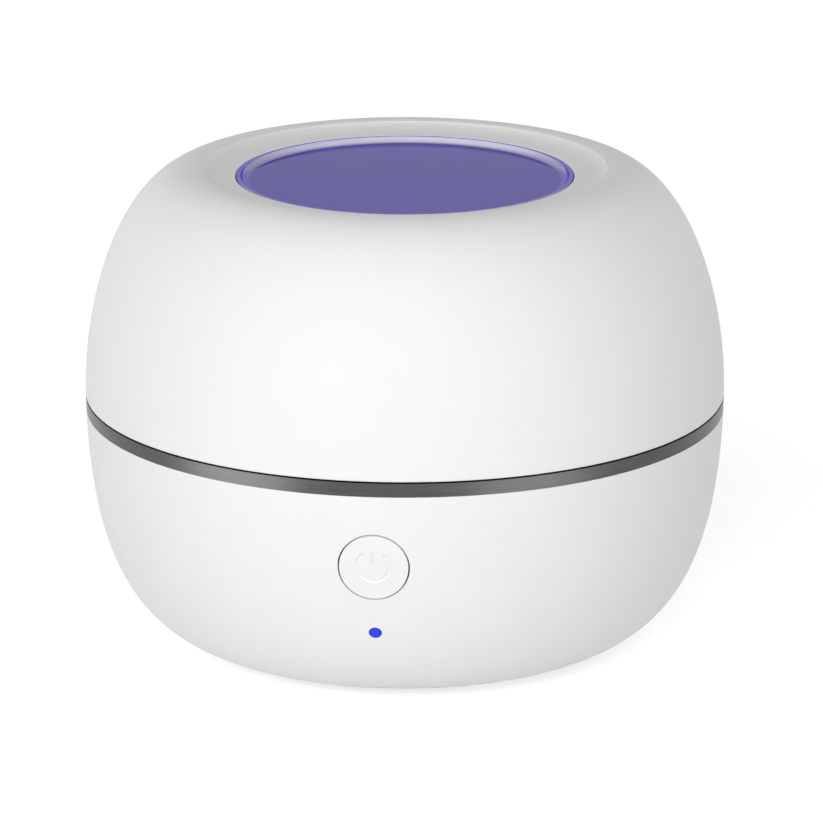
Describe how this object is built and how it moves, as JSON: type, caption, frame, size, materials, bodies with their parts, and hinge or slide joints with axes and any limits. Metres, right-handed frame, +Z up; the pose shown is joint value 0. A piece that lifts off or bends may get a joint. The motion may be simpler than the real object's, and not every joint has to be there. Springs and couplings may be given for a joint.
{
  "type": "uv pacifier sanitizer",
  "caption": "Round pocket ultraviolet steriliser for pacifiers, with a domed hinged lid, a violet window, a dark trim band, a push button and a status light.",
  "frame": {"origin": "centre of the foot ring's resting face, on the body's vertical axis", "axes": "+Z up, -Y towards the push button and the status light, +X to the right seen from the front"},
  "size_m": [0.09, 0.09, 0.0676],
  "materials": {
    "white_shell": "smooth satin-gloss white moulding",
    "dark_trim": "dark grey metallic satin",
    "violet_lens": "clear violet, polished",
    "mirror_plating": "bright plated plastic",
    "quartz": "clear polished disc",
    "soft_seal": "matte pale grey silicone",
    "rack_plastic": "frosted white",
    "steel": "plain steel",
    "magnet_plating": "nickel plated",
    "board": "green circuit board",
    "lamp_board_metal": "white-coated aluminium board",
    "lamp_clear": "lamp packages with clear lenses",
    "lamp_violet": "violet indicator lamps",
    "black_part": "moulded black",
    "small_part": "pale moulded parts",
    "cell_foil": "foil pouch",
    "foam": "black foam",
    "lead_cover": "insulated wire",
    "light_blue": "clear blue rod, lit",
    "ribbon": "amber flexible ribbon",
    "plunger": "moulded"
  },
  "bodies": {
    "base": {"base_shell": "white_shell", "trim_band": "dark_trim", "bottom_cover": "white_shell", "foot_ring": "soft_seal", "cover_screws": "steel", "chamber_bowl": "mirror_plating", "latch_plate": "steel", "quartz_window": "quartz", "lamp_board": "lamp_board_metal", "lamp_board_screws": "steel", "ultraviolet_lamps": "lamp_clear", "violet_lamps": "lamp_violet", "board_link": "black_part", "main_board": "board", "main_board_screws": "steel", "control_chip": "black_part", "boost_inductor": "black_part", "chip_parts": "small_part", "port_shell": "steel", "port_tongue": "black_part", "battery_cell": "cell_foil", "battery_pad": "foam", "battery_socket": "small_part", "battery_leads": "lead_cover", "button_board": "board", "button_board_screws": "steel", "tact_switch": "black_part", "status_lamp": "small_part", "lid_sensor": "black_part", "light_pipe": "light_blue", "button_ribbon": "ribbon", "hinge_pin": "steel"},
    "lid": {"lid_shell": "white_shell", "window_lens": "violet_lens", "lid_liner": "mirror_plating", "liner_screws": "steel", "rim_seal": "soft_seal", "lid_magnet": "magnet_plating"},
    "button": {"power_button": "white_shell", "switch_plunger": "plunger"},
    "rack": {"pacifier_rack": "rack_plastic"}
  },
  "joints": [
    {"name": "lid_hinge", "type": "hinge", "parent": "base", "child": "lid", "pos_m": [0, 0.043, 0.03547], "axis": [-1, 0, 0], "range_deg": [0, 100]},
    {"name": "button_press", "type": "slide", "parent": "base", "child": "button", "axis": [0, 0.9907, 0.1359], "range_m": [0, 0.0005], "stiffness_N_per_m": 1200, "springref_m": -0.001},
    {"name": "rack_lift", "type": "slide", "parent": "base", "child": "rack", "axis": [0, 0, 1], "range_m": [0, 0.02]}
  ]
}
